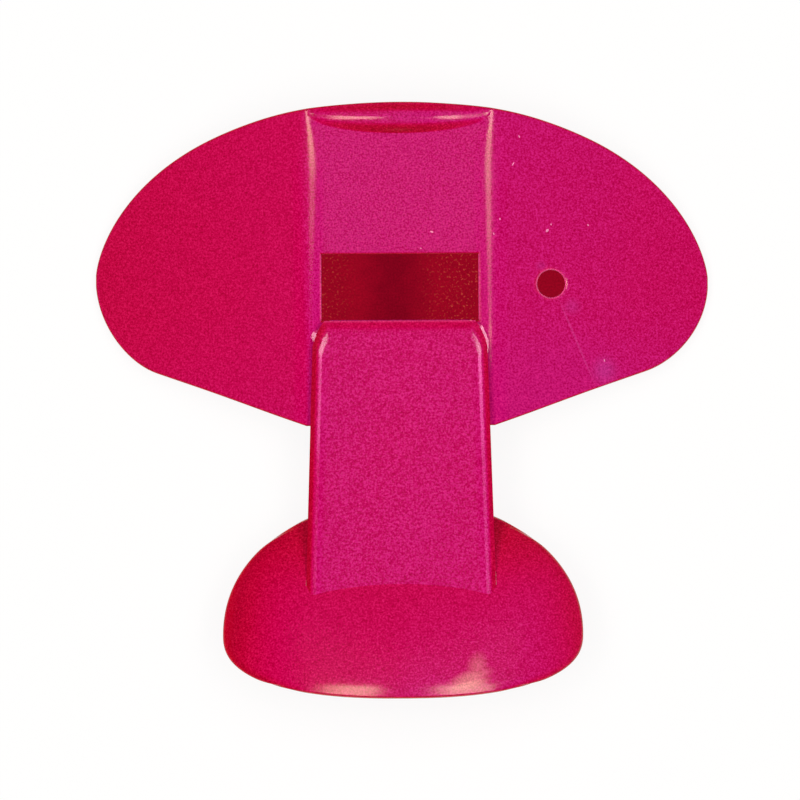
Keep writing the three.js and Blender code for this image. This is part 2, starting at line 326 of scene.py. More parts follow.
def flare_share(y):
    """How far a place lies along the last part of the bends, beside the lip."""
    return np.clip((y - BEND_FLARE_FROM_Y) / (CHIN_Y - BEND_FLARE_FROM_Y), 0, 1)


def bend_radius(y):
    """Radius of the bends: softer towards the chin, but tight again beside the lip."""
    soft = lerp(BEND_RADIUS_AT_ROOT, BEND_RADIUS_AT_CHIN, chin_share(y) ** BEND_SPREAD_POWER)
    return soft * (1 - BEND_PINCH * flare_share(y))


def panel_half(y):
    """Half width of the flat panel, which ends where the bend along its border begins."""
    return BEND_LINE + BEND_FLARE * flare_share(y) ** 2 - bend_radius(y) * math.sin(WING_TILT / 2)


def wing_drop(x, y):
    """How far the front of the shield lies below the panel."""
    radius = bend_radius(y)
    bend = radius * math.sin(WING_TILT)
    out = np.clip(np.abs(x) - panel_half(y), 0, None)
    bent = np.minimum(out, bend)
    reach = WING_RADIUS * math.sin(WING_TILT) + np.clip(out - bend, 0, None)
    wing = WING_RADIUS * math.cos(WING_TILT) - np.sqrt(WING_RADIUS ** 2 - reach ** 2)
    return radius - np.sqrt(radius ** 2 - bent ** 2) + wing


WING_SLOPE_STEP = 0.05


def wing_back(x, y):
    """Height of the shield's back, a wall's thickness behind its front."""
    here = wing_drop(np.abs(x), y)
    slope = (wing_drop(np.abs(x) + WING_SLOPE_STEP, y) - here) / WING_SLOPE_STEP
    return -here - WALL * np.sqrt(1 + slope ** 2)


def lip_rise(x, y, chin):
    """Height of the lens-shaped lip: a steep foot, a crowned top and a slope to the chin edge."""
    out = np.minimum(np.abs(x / LIP_HALF), 1)
    taper = 1 - out ** LIP_TAPER_POWER
    foot = CHIN_Y - LIP_SETBACK - LIP_FOOT * np.sqrt(1 - out ** 2)
    share = np.clip((y - foot) / np.maximum(chin - foot, EDGE), 0, 1)
    return LIP_HEIGHT * taper * curve_through(LIP_SECTION, share)


# Columns of the shield's grid from the middle to a tip, and its rows from the nose end to the chin.
# Above the window, the columns beyond PULL_FROM follow the bend.
SLOT_COLUMNS = 24
WINDOW_COLUMNS = 4
BESIDE_COLUMNS = 2
BEND_COLUMNS = 34
WING_COLUMNS = 64
NOSE_ROWS = 30
WINDOW_ROWS = 20
PANEL_ROWS = 24
LIP_ROWS = 64
LIP_ROWS_FROM = 0.8
OUTLINE_MARGIN = 0.2
PULL_RISE = 4
PULL_FROM = 6


def shield_columns(tip_x):
    """Places across one half: even over the panel, close at the bend, closing in on the tip."""
    slot = AIRWAY_HALF + EDGE
    window = WINDOW_HALF + EDGE
    bend = panel_half(WINDOW_MIDDLE_Y)
    wing = bend + BEND_RADIUS_AT_CHIN * math.sin(WING_TILT)
    turn = spread(0, 1, WING_COLUMNS)[:-1] * math.pi / 2
    return np.concatenate([
        spread(0, slot, SLOT_COLUMNS),
        spread(slot, window, WINDOW_COLUMNS),
        spread(window, bend, BESIDE_COLUMNS),
        spread(bend, wing, BEND_COLUMNS),
        lerp(wing, tip_x, np.sin(turn)),
    ])


def shield_grid():
    """Plan places of the front's grid, with rows that follow the window and the outline."""
    columns = shield_columns(SHIELD_HALF - EDGE)
    base = np.concatenate([-columns[:0:-1], columns])
    out = np.abs(base)

    def ends(tip_y):
        """Where each column meets the outline, at its nose end and at its chin end."""
        edge = shield_edge(EDGE, tip_y)
        tip = int(np.argmax(edge[:, 0]))
        return [np.interp(out, *half.T) for half in (edge[:tip + 1], edge[:tip - 1:-1])]

    low, high = np.where(base < 0, *(ends(tip_y) for tip_y in TIP_Y))
    margin = OUTLINE_MARGIN * (high - low)
    first = np.maximum(WINDOW_LOW_Y - EDGE, low + margin)
    second = np.minimum(WINDOW_HIGH_Y + EDGE, high - margin)
    upper_rows = np.concatenate([spread(0, LIP_ROWS_FROM, PANEL_ROWS),
                                 np.linspace(LIP_ROWS_FROM, 1, LIP_ROWS)])
    y = np.concatenate([
        lerp(low, first, spread(0, 1, NOSE_ROWS)[:, None]),
        lerp(first, second, spread(0, 1, WINDOW_ROWS)[:, None]),
        lerp(second, high, upper_rows[:, None]),
    ])
    bend = panel_half(WINDOW_MIDDLE_Y)
    window = WINDOW_HALF + EDGE
    ease = 1 - smooth((out - bend - BEND_RADIUS_AT_ROOT) / BEND_RADIUS_AT_CHIN)
    above = smooth((y - WINDOW_HIGH_Y - EDGE) / PULL_RISE)
    still = lerp(window, PULL_FROM, above)
    pull = np.clip((out - still) / (bend - still), 0, 1) * ease
    x = np.sign(base) * (out + pull * (panel_half(y) - bend))
    return x, y, np.broadcast_to(high, y.shape)


def kept_cells(x, y):
    """Cells of the grid that are plastic, and not window or slot."""
    rows, columns = x.shape
    index = np.arange(rows * columns).reshape(rows, columns)
    cells = np.stack([index[:-1, :-1], index[:-1, 1:], index[1:, 1:], index[1:, :-1]], axis=-1)
    cells = cells.reshape(-1, 4)
    middle_x = np.abs(x.ravel()[cells].mean(1))
    middle_y = y.ravel()[cells].mean(1)
    slot = (middle_x < AIRWAY_HALF + EDGE) & (middle_y < WINDOW_LOW_Y)
    beside = (middle_y > WINDOW_LOW_Y - EDGE) & (middle_y < WINDOW_HIGH_Y + EDGE)
    return cells[~(slot | (beside & (middle_x < WINDOW_HALF + EDGE)))]


RIM_STEPS = 5
RIM_SHARE_OF_WALL = 0.45
LEAST_MITRE = 0.5


def shell(x, y, top, bottom, quads):
    """A closed sheet: two faces over one plan, joined by a rounded edge along every border."""
    ways = {(quad[k], quad[(k + 1) % 4]) for quad in quads for k in range(4)}
    border = [(a, b) for a, b in ways if (b, a) not in ways]
    after = dict(border)
    before = {b: a for a, b in border}
    around = np.array(sorted(after))
    place = np.column_stack([x, y])

    def sideways(a, b):
        way = place[b] - place[a]
        way = way / np.linalg.norm(way, axis=1)[:, None]
        return np.column_stack([way[:, 1], -way[:, 0]])

    one = sideways(np.array([before[v] for v in around]), around)
    two = sideways(around, np.array([after[v] for v in around]))
    mitre = (one + two) / np.maximum(1 + (one * two).sum(1), LEAST_MITRE)[:, None]
    depth = np.minimum(EDGE, RIM_SHARE_OF_WALL * (top - bottom)[around])
    turns = np.linspace(0, math.pi / 2, RIM_STEPS + 1)[1:]

    def arc(face, sign):
        """Rings that turn from a face to the middle of the edge."""
        return [np.column_stack([place[around] + mitre * EDGE * math.sin(turn),
                                 face[around] + sign * depth * (1 - math.cos(turn))])
                for turn in turns]

    rings = [*arc(top, -1), *arc(bottom, 1)[::-1]]
    used = np.unique(quads)
    count = len(used)
    size = len(around)
    number = np.full(len(x), -1)
    number[used] = np.arange(count)
    local = {v: k for k, v in enumerate(around)}
    points = np.vstack([np.column_stack([place[used], top[used]]),
                        np.column_stack([place[used], bottom[used]]), *rings])

    def chain(v):
        """Points from the top face round the edge to the bottom face."""
        rim = [2 * count + r * size + local[v] for r in range(len(rings))]
        return [number[v], *rim, count + number[v]]

    faces = [tuple(number[quad]) for quad in quads]
    faces += [tuple(count + number[quad][::-1]) for quad in quads]
    for a, b in border:
        near, far = chain(a), chain(b)
        faces += [(far[k], near[k], near[k + 1], far[k + 1]) for k in range(len(near) - 1)]
    return points, faces


HOLE_SIDES = 72
HOLE_EASE_STEPS = 6
HOLE_EASE_TURN = math.radians(75)


def hole_cutter():
    """A round cutter that flares at the shield's two faces, to ease the cord hole's rims."""
    around = spread(0, 2 * math.pi, HOLE_SIDES)

    def ring(out, level, lift):
        radius = HOLE_RADIUS + out
        x, y = HOLE[0] + radius * np.cos(around), HOLE[1] + radius * np.sin(around)
        return np.column_stack([x, y, level(x, y) + lift])

    def front(x, y):
        return -wing_drop(x, y)

    turns = np.linspace(0, HOLE_EASE_TURN, HOLE_EASE_STEPS)
    ease = [(EDGE * (1 - math.cos(turn)), EDGE * (1 - math.sin(turn))) for turn in turns]
    out, lift = ease[-1]
    ease += [(out + EDGE / 2, lift - EDGE / 4), (out + EDGE / 2, -WALL)]
    return loft([*(ring(out, wing_back, lift) for out, lift in ease[::-1]),
                 *(ring(out, front, -lift) for out, lift in ease)])


# How a rim's painted highlight fades out across the eased edge, and how deep it goes, in radii of
# that edge.
RIM_HIGHLIGHT_FADE = (0.3125, 0.9375)
RIM_HIGHLIGHT_DEPTH = 1.5


def shield_rim_highlights(points):
    """Painted highlight along the window's upright edges and round the cord hole, fading over the
    eased edge.
    """
    x, y, z = points.T
    beside = np.where((y > WINDOW_LOW_Y) & (y < WINDOW_HIGH_Y), np.abs(x) - WINDOW_HALF, WALL)
    hole = np.hypot(x - HOLE[0], y - HOLE[1]) - HOLE_RADIUS
    away = np.minimum(np.abs(beside), np.abs(hole)) / EDGE
    near = 1 - smooth((away - RIM_HIGHLIGHT_FADE[0]) / (RIM_HIGHLIGHT_FADE[1] - RIM_HIGHLIGHT_FADE[0]))
    return near * smooth(RIM_HIGHLIGHT_DEPTH + (z + wing_drop(x, y)) / EDGE)


def mouth_shield():
    x, y, chin = shield_grid()
    quads = kept_cells(x, y)
    x, y, chin = x.ravel(), y.ravel(), chin.ravel()
    front = -wing_drop(x, y)
    split = (y - WINDOW_HIGH_Y) / SPLIT_LENGTH
    bevel = front - lerp(SPLIT_EDGE, WALL, np.clip(split, 0, 1))
    back = np.where((np.abs(x) < WINDOW_HALF + EDGE) & (split > -EDGE), bevel, wing_back(x, y))
    piece = mesh_object("shield_moulding", *shell(x, y, front + lip_rise(x, y, chin), back, quads))
    cut(piece, *hole_cutter())
    mark_rim_highlights(piece, shield_rim_highlights(points_mm(piece)))
    return piece


# Air duct

DUCT_END_POINTS = 24
DUCT_SIDE_POINTS = 60
DUCT_CORNER_POINTS = 24
DUCT_EDGE_RINGS = 25


def duct_outline(inset, top_y, end_y):
    """Outline of the duct in plan, drawn in by inset, with the corners at the window cut off."""
    shrink = 1 - DUCT_CORNER_SHRINK * max(inset, 0) / DUCT_EDGE_WIDTH
    side_y = top_y - DUCT_CORNER_LENGTH * shrink
    end, side, top = (duct_half(y) - inset for y in (end_y, side_y, top_y))
    start = np.array((side, side_y))
    stop = np.array((top - DUCT_CORNER_WIDTH * shrink, top_y))
    knee = lerp((start + stop) / 2, np.array((top, top_y)), DUCT_CORNER_FULLNESS)
    t = spread(0, 1, DUCT_CORNER_POINTS)[:, None]
    right = np.vstack([
        straight((0, end_y), (end, end_y), DUCT_END_POINTS),
        straight((end, end_y), start, DUCT_SIDE_POINTS),
        start * (1 - t) ** 2 + 2 * knee * t * (1 - t) + stop * t * t,
        straight(stop, (0, top_y), DUCT_END_POINTS),
        [(0, top_y)],
    ])
    left = right[-2:0:-1] * (-1, 1)
    return np.vstack([right, left])


def level_ring(plan, z):
    return np.column_stack([plan, np.full(len(plan), z)])


def duct_rings(low, top_y, end_y, grow=0.0):
    """Rings from a level up to the duct's face: walls, then a bevel that rounds into the face."""
    rings = [level_ring(duct_outline(DUCT_WALL_LEAN - grow, top_y, end_y - grow), low - grow)]
    for share in np.linspace(0, 1, DUCT_EDGE_RINGS):
        inset = DUCT_EDGE_WIDTH * share
        level = DUCT_FACE - DUCT_EDGE_DEPTH * (1 - curve_through(DUCT_EDGE_SECTION, share)) + grow
        plan = duct_outline(inset - grow, top_y - DUCT_END_STRETCH * inset, end_y - grow)
        rings.append(level_ring(plan, level))
    return rings


def wedge_share(x, y):
    """How much cement was pressed out beside the duct, along more of its foot on the right."""
    first, last, fade = (np.where(x < 0, *pair) for pair in (WEDGE_FROM_Y, WEDGE_TO_Y, WEDGE_FADE))
    corner = smooth((np.abs(x) - WEDGE_FROM_X) / EDGE)
    return smooth((y - first) / fade) * smooth((last - y) / fade) * corner


def cement_wedge(foot):
    """Rings of the cement that was pressed out on to the panel."""
    x, y = foot[:, 0], foot[:, 1]
    way = np.roll(foot, -1, axis=0) - np.roll(foot, 1, axis=0)
    way = way[:, :2] / np.linalg.norm(way, axis=1)[:, None]
    out = np.column_stack([way[:, 1], -way[:, 0]])
    reach, slope = (np.where(x < 0, *pair) for pair in (WEDGE_REACH, WEDGE_SLOPE))
    share = wedge_share(x, y)
    heel = foot[:, :2]
    toe = heel + out * (reach * share)[:, None]

    def top(plan):
        panel = -JOINT_GAP - wing_drop(plan[:, 0], plan[:, 1])
        wedge = WEDGE_HEIGHT - slope * (np.abs(plan[:, 0]) - WINDOW_HALF)
        return lerp(panel, np.maximum(panel, wedge), share)

    sunk = np.column_stack([toe, -2 * JOINT_GAP - wing_drop(toe[:, 0], toe[:, 1])])
    return [sunk, np.column_stack([toe, top(toe)]), np.column_stack([heel, top(heel) + WEDGE_STEP]),
            level_ring(heel, WEDGE_HEIGHT + 2 * JOINT_GAP)]


def duct_rim_highlights(points):
    """Painted highlight along the duct's outer edge at the window, and on the cement at its
    corners.
    """
    x, y, z = points.T
    front = 1 - smooth((WINDOW_LOW_Y - y) / EDGE)
    edge = front * (np.abs(x) < WINDOW_HALF) * smooth(z / DUCT_EDGE_DEPTH)
    toe = np.abs(x) > duct_half(y) - DUCT_WALL_LEAN + JOINT_GAP
    cement = wedge_share(x, y) * (z < WEDGE_HEIGHT + JOINT_GAP) * np.where(toe & (x < 0), 0, 1)
    return np.maximum(WINDOW_RIM_HIGHLIGHT_SHARE * edge, cement)


def duct_cover():
    rings = duct_rings(DUCT_SKIRT, WINDOW_LOW_Y, DUCT_END_Y)
    piece = mesh_object("duct_moulding", *loft([rings[0], *cement_wedge(rings[0]), *rings[1:]]))
    beyond = WALL
    cut(piece, *box_points(-SHIELD_HALF, SHIELD_HALF, ROOT_Y - JOINT_GAP, WINDOW_LOW_Y + beyond,
                           DUCT_SKIRT - beyond, -DUCT_SEAT))
    cut(piece, *box_points(-AIRWAY_HALF, AIRWAY_HALF, DUCT_END_Y - beyond, WINDOW_LOW_Y + beyond,
                           DUCT_SKIRT - beyond, DUCT_ROOF))
    mark_rim_highlights(piece, duct_rim_highlights(points_mm(piece)))
    return piece


LAP_GAP = 0.1
PLATE_EASE_RINGS = 5


def airway_floor():
    """A plate behind the duct, with a tongue that stands in the shield's slot."""
    top_y = floor_high.y
    lap = DUCT_SKIRT - LAP_GAP
    rings = []
    for turn in np.linspace(0, math.pi / 2, PLATE_EASE_RINGS):
        ease = EDGE * (1 - math.sin(turn))
        plan = duct_outline(PLATE_INSET + ease, top_y - ease, DUCT_END_Y + ease)
        rings.append(level_ring(plan, PLATE_BACK + EDGE * (1 - math.cos(turn))))
    plan = duct_outline(PLATE_INSET, top_y, DUCT_END_Y)
    narrow = AIRWAY_HALF - LAP_GAP
    step = plan.copy()
    step[:, 0] = np.clip(step[:, 0], -narrow, narrow)
    rings += [level_ring(plan, lap), level_ring(step, lap + JOINT_GAP),
              level_ring(step, AIRWAY_FLOOR)]
    return mesh_object("airway_floor_moulding", *loft(rings))


# Nose cup

CUP_SPOKES = 216
CUP_RINGS = 44
SHOULDER_STEPS = 10
BROW_STEPS = 6
CHEEK_STEPS = 12
CUP_RIM_STEPS = 10
CUP_SLOPE_STEP = 0.01


def cup_outline(turn, inset):
    """Outline of the cup in plan, drawn in by inset."""
    back = np.sin(turn) > 0
    power = 2 / np.where(back, CUP_BACK_POWER, CUP_FRONT_POWER)
    across = np.sign(np.cos(turn)) * np.abs(np.cos(turn)) ** power
    along = np.sign(np.sin(turn)) * np.abs(np.sin(turn)) ** power
    width = np.where(across < 0, CUP_HALF - CUP_LEFT_SLIMMER, CUP_HALF) - inset
    length = np.where(back, CUP_BACK, CUP_FRONT) - inset
    return np.column_stack([across * width, CUP_MIDDLE_Y + along * length])


def dome_height(plan):
    """Height of the cup's crown: a spine that falls to the duct, and a low dome across it."""
    x, y = plan[..., 0], plan[..., 1]
    rise = CUP_TOP - DUCT_FACE
    spine = rise * (np.clip(y - CREST_Y, 0, None) / (CREASE_Y - CREST_Y)) ** SPINE_POWER
    tail = TAIL_FALL * np.clip(y - CREASE_Y, 0, None) ** 2
    out = np.abs(x / CUP_HALF)
    share = smooth((y - CREST_Y) / (CREASE_Y - CREST_Y))
    brow, crown = (lerp(out ** DOME_POWER, out ** power, round_share)
                   for power, round_share in zip(DOME_ROUND_POWER, DOME_ROUND))
    return CUP_TOP - spine - tail - DOME_FALL * lerp(brow, crown, share)


def cup_face(wall):
    """Rings of one face of the cup: over the dome, round the shoulder and down the cheeks."""
    turn = spread(0, 2 * math.pi, CUP_SPOKES)
    side = np.abs(cup_outline(turn, CUP_SHOULDER)[:, 0])
    upright = smooth((side - CHEEK_TURN_X[0]) / (CHEEK_TURN_X[1] - CHEEK_TURN_X[0]))
    drop = smooth((side - CHEEK_DROP_X[0]) / (CHEEK_DROP_X[1] - CHEEK_DROP_X[0]))
    brow = cup_outline(turn, CUP_SHOULDER + wall * upright)
    out = cup_outline(turn, CUP_RIM_ROUND * (1 - upright) + wall * upright) - brow
    reach = np.linalg.norm(out, axis=1)
    out /= reach[:, None]
    rings = []
    for share in np.linspace(0, 1, CUP_RINGS + 1)[1:]:
        plan = lerp(np.array((0, CUP_MIDDLE_Y)), brow, share)
        rings.append(np.column_stack([plan, dome_height(plan) - wall]))
    fall = np.maximum(dome_height(brow) - dome_height(brow + out * CUP_SLOPE_STEP), 0)
    slope = np.arctan2(fall, CUP_SLOPE_STEP)
    turned = lerp(slope, math.pi / 2, upright)
    bent = lerp(slope, np.maximum(slope, BROW_TURN), upright)
    free = CUP_BRIM_SHARE * reach * (1 - upright)
    edge = BROW_EDGE * np.maximum(upright, BROW_EDGE_LEAST)
    for first, last, length, steps in ((slope, bent, reach - free - edge, SHOULDER_STEPS),
                                       (bent, turned, edge, BROW_STEPS)):
        angles = [lerp(first, last, (k + 0.5) / steps) for k in range(steps)]
        step = length / sum(np.cos(angle) for angle in angles)
        for angle in angles:
            way = np.column_stack([out * np.cos(angle)[:, None], -np.sin(angle)])
            rings.append(rings[-1] + way * step[:, None])
    down = drop * (rings[-1][:, 2] - REST_Z - CUP_RIM_ROUND) + free * np.tan(turned)
    away = free - CHEEK_LEAN * down * upright
    for k in range(CHEEK_STEPS):
        rings.append(rings[-1] + np.column_stack([out * away[:, None], -down]) / CHEEK_STEPS)
    return rings


def nose_cup():
    outer, inner = cup_face(0), cup_face(WALL)
    middle = np.array((0, CUP_MIDDLE_Y))
    top = np.array((*middle, dome_height(middle)))
    under = top - (0, 0, WALL)
    through = inner[-1] - outer[-1]
    beyond = outer[-1] - outer[-2]
    beyond -= through * ((beyond * through).sum(1) / (through ** 2).sum(1))[:, None]
    beyond /= np.linalg.norm(beyond, axis=1)[:, None]
    rim = [outer[-1] + through * (1 - math.cos(a)) / 2 + beyond * CUP_RIM_ROUND * math.sin(a)
           for a in np.linspace(0, math.pi, CUP_RIM_STEPS + 1)[1:-1]]
    rings = [*outer, *rim, *inner[::-1]]
    points = np.vstack([*rings, top, under])
    points[:, 2] = np.maximum(points[:, 2], REST_Z)
    spokes = range(CUP_SPOKES)
    beside = [(i + 1) % CUP_SPOKES for i in spokes]
    last = (len(rings) - 1) * CUP_SPOKES
    faces = [(len(points) - 2, i, j) for i, j in zip(spokes, beside)]
    for k in range(len(rings) - 1):
        low, high = k * CUP_SPOKES, (k + 1) * CUP_SPOKES
        faces += [(low + i, high + i, high + j, low + j) for i, j in zip(spokes, beside)]
    faces += [(last + i, len(points) - 1, last + j) for i, j in zip(spokes, beside)]
    piece = mesh_object("cup_moulding", points, faces)
    cut(piece, *loft(duct_rings(PLATE_BACK, ROOT_Y, DUCT_END_Y, JOINT_GAP)))
    return piece


# Materials

def add(tree, kind, inputs=None, **settings):
    """Adds a node. An input is a value, or the socket that feeds it."""
    made = tree.nodes.new(kind)
    for key, value in settings.items():
        setattr(made, key, value)
    for key, value in (inputs or {}).items():
        if isinstance(value, bpy.types.NodeSocket):
            tree.links.new(value, made.inputs[key])
        else:
            made.inputs[key].default_value = value
    return made


def maths(tree, operation, a, b=0.0, c=0.0):
    return add(tree, "ShaderNodeMath", {0: a, 1: b, 2: c}, operation=operation).outputs[0]


def blend(tree, share, a, b):
    """Colour between a and b."""
    return add(tree, "ShaderNodeMix", {0: share, 6: a, 7: b}, data_type="RGBA").outputs[2]


def set_stops(ramp, stops):
    """Fills a colour ramp with stops of place and colour."""
    made = ramp.color_ramp.elements
    while len(made) < len(stops):
        made.new(0.5)
    for stop, (place, colour) in zip(made, stops):
        stop.position = place
        stop.color = (*colour, 1)


GRAIN_DETAIL = 2.0
CLOUD_DETAIL = 4.0


def noise(tree, coords, scale, detail=GRAIN_DETAIL):
    """Noise about zero, with details of one over scale, in metres."""
    made = add(tree, "ShaderNodeTexNoise", {"Vector": coords, "Scale": scale, "Detail": detail})
    return maths(tree, "SUBTRACT", made.outputs["Fac"], 0.5)


def scaled(tree, vector, factor):
    return add(tree, "ShaderNodeVectorMath", {0: vector, "Scale": factor},
               operation="SCALE").outputs["Vector"]


CRISP_CORE = 0.6
LINE_CORE = 0.5
SOFT_CORE = 0.1


def oval(tree, coords, place, half, turn=0.0, core=CRISP_CORE):
    """One inside an upright oval column, fading out from its core. Sizes are in millimetres."""
    local = add(tree, "ShaderNodeMapping", {
        "Vector": coords,
        "Location": (place[0] * MM, place[1] * MM, 0),
        "Rotation": (0, 0, math.radians(turn)),
        "Scale": (half[0] * MM, half[1] * MM, 1),
    }, vector_type="TEXTURE").outputs["Vector"]
    away = add(tree, "ShaderNodeVectorMath", {0: local}, operation="LENGTH").outputs["Value"]
    return add(tree, "ShaderNodeMapRange", {"Value": away, "From Min": 1.0, "From Max": core},
               interpolation_type="SMOOTHSTEP").outputs["Result"]


def share_between(tree, value, span):
    """Rises from nothing to one over a span in millimetres."""
    return add(tree, "ShaderNodeMapRange", {
        "Value": value, "From Min": span[0] * MM, "From Max": span[1] * MM,
    }, interpolation_type="SMOOTHSTEP").outputs["Result"]


def colour_along(tree, value, stops):
    """Colour from stops of place, in millimetres, and colour."""
    start, end = stops[0][0], stops[-1][0]
    along = add(tree, "ShaderNodeMapRange", {
        "Value": value, "From Min": start * MM, "From Max": end * MM})
    ramp = add(tree, "ShaderNodeValToRGB", {"Fac": along.outputs["Result"]})
    set_stops(ramp, [((place - start) / (end - start), colour) for place, colour in stops])
    return ramp.outputs["Color"]


WHITE = (1, 1, 1, 1)
BLACK = (0, 0, 0, 1)

# Painted shade: the plastic's colour turns from crimson on its flanks to magenta on its front,
# by which way each face looks. A lay shifts the painted shade of one piece.
PAINTED_SHADE_STOPS = (
    (0.500, (0.620, 0.0003, 0.020)),
    (0.640, (0.560, 0.0003, 0.022)),
    (0.720, (0.465, 0.0003, 0.028)),
    (0.800, (0.520, 0.0004, 0.037)),
    (0.875, (0.562, 0.0007, 0.062)),
    (0.927, (0.568, 0.0009, 0.086)),
    (0.946, (0.566, 0.0016, 0.098)),
    (0.978, (0.556, 0.0040, 0.128)),
    (0.995, (0.550, 0.0060, 0.165)),
)
# The leans tip the painted shade towards the right, as the light falls there.
PAINTED_SHADE_LEAN = math.radians(6)
CUP_PAINTED_SHADE_LEAN = math.radians(9)
# The painted shade turns more magenta from this place towards the nose end.
PAINTED_SHADE_FROM_Y = 12
PAINTED_SHADE_BY_Y = 2.4
DUCT_LAY = -0.016
CUP_LAY = -0.014

# Grain and clouds of the plastic, its gloss, and the highlight painted paler on its rims.
GRAIN_SCALE = 4200
CLOUD_SCALE = 90
GRAIN_SHIFT = 0.17
GRAIN_GREY = 0.03
CLOUD_SHIFT = 0.025
GRAIN_VALUE = 1.2
CLOUD_BUMP = 4
BUMP_STRENGTH = 0.25
BUMP_DISTANCE = 0.02 * MM
ROUGHNESS = 0.12
GRAIN_ROUGHNESS = 0.08
IOR = 1.5
SHEEN_TINT = (0.8, 0.7, 0.49, 1)
RIM_HIGHLIGHT_COLOUR = (0.95, 0.08, 0.33, 1)
RIM_HIGHLIGHT_SHARE = 0.8
WINDOW_RIM_HIGHLIGHT_SHARE = 0.5

# Marks on the shield: pale nicks, a line where two flows of plastic met behind the cord hole, and
# patches of painted sheen with their strength. All are ovals, given by their place, their half
# width and half length, and their turn in degrees. The outer slope of the lip has a redder painted
# shade.
NICKS = (
    ((15.3, 33.5), (0.10, 0.20), 20),
    ((14.5, 30.0), (0.08, 0.30), -30),
    ((12.8, 23.0), (0.10, 0.16), 0),
    ((12.0, 21.1), (0.09, 0.18), 10),
    ((18.8, 21.5), (0.18, 0.29), -35),
    ((19.3, 22.3), (0.09, 0.15), 0),
    ((24.0, 22.2), (0.11, 0.15), 40),
    ((26.0, 4.9), (0.10, 0.20), 15),
    ((4.1, 21.4), (0.11, 0.24), 70),
    ((2.7, 19.3), (0.08, 0.14), 60),
)
NICK_COLOUR = (0.98, 0.27, 0.55, 1)
KNIT_LINE = ((22.45, 7.4), (0.16, 7.0), 22.5)
KNIT_SHARE = 0.7
KNIT_COLOUR = (0.62, 0.03, 0.23, 1)
# Painted sheen: bluer patches on the right wing, given with their strength.
PAINTED_SHEEN_PATCHES = (
    (((26.0, 3.6), (2.3, 2.5), 0), 0.75),
    (((21.9, 11.8), (1.7, 1.5), 0), 0.4),
    (((18.0, 17.0), (1.0, 0.9), 0), 0.4),
)
PAINTED_SHEEN_COLOUR = (0.52, 0.025, 0.24, 1)
LIP_PAINTED_SHADE = (0.5, 0.0003, 0.026, 1)
LIP_PAINTED_SHADE_FROM_Y = (36.4, 37.6)
LIP_PAINTED_SHADE_SHARE = 0.6

# Scuff on the brow of the cup, duller, with a highlight painted paler over it, as ovals with their
# strength.
SCUFFS_AND_HIGHLIGHTS = (
    (((8.6, -36.2), (3.4, 0.9), 14), 0.9),
    (((8.8, -35.4), (3.6, 1.3), 20), 0.55),
    (((9.7, -34.0), (1.7, 2.4), -10), 0.3),
)
SCUFF_ROUGHNESS = 0.15
SCUFF_HIGHLIGHT_COLOUR = (0.80, 0.24, 0.27, 1)

# How much of the sheen is left on the shield's bends, on the left and the right, from beside the
# window up to the lip.
BEND_SHEEN = (
    (3.5, (0.00, 0.00)),
    (6.6, (0.00, 0.18)),
    (8.8, (0.00, 0.50)),
    (11.0, (0.02, 0.24)),
    (16.0, (0.05, 0.24)),
    (19.0, (0.12, 0.36)),
    (22.0, (0.22, 0.46)),
    (26.0, (0.26, 0.44)),
    (28.0, (0.32, 0.62)),
    (30.0, (0.62, 0.64)),
    (32.0, (0.88, 0.68)),
    (33.5, (1.00, 0.84)),
    (34.2, (1.00, 1.00)),
)
BEND_SHEEN_REACH = (1.4, 2.4)
BEND_TINT = (0.82, 0.69, 0.4, 1)

# How much of it is left on the lip, from left to right between the bends.
LIP_SHEEN = (
    (-11.2, 1.0),
    (-10.7, 0.1),
    (-9.4, 0.15),
    (-7.8, 1.0),
    (1.0, 1.0),
    (4.2, 0.3),
    (5.4, 1.0),
    (7.4, 1.0),
    (8.3, 0.35),
    (10.7, 0.2),
    (11.2, 1.0),
)
LIP_SHEEN_FROM_Y = (34.8, 35.4)
LIP_TINT = (1.0, 0.74, 0.6, 1)

# How much of it is left on the duct's long edges, on the left and the right, from the crease up to
# the window. The cup gets it back over CUP_SHEEN_FROM_X.
EDGE_SHEEN = (
    (-22.3, (0.13, 0.34)),
    (-19.1, (0.12, 0.27)),
    (-15.3, (0.10, 0.22)),
    (-11.4, (0.09, 0.36)),
    (-7.6, (0.20, 0.30)),
    (-4.5, (0.62, 0.57)),
    (0.0, (0.58, 0.70)),
    (3.9, (0.60, 1.00)),
    (6.6, (1.00, 1.00)),
)
EDGE_SHEEN_FROM_X = (9, 9.7)
EDGE_TINT = (1.0, 0.31, 0.81, 1)
DUCT_FACE_TINT = (0.35, 0.36, 0.25, 1)
WINDOW_TINT = (0.95, 0.74, 0.9, 1)
WINDOW_TINT_SPAN = (4.8, 6.6)
CUP_SHEEN_FROM_X = (-17, -9)


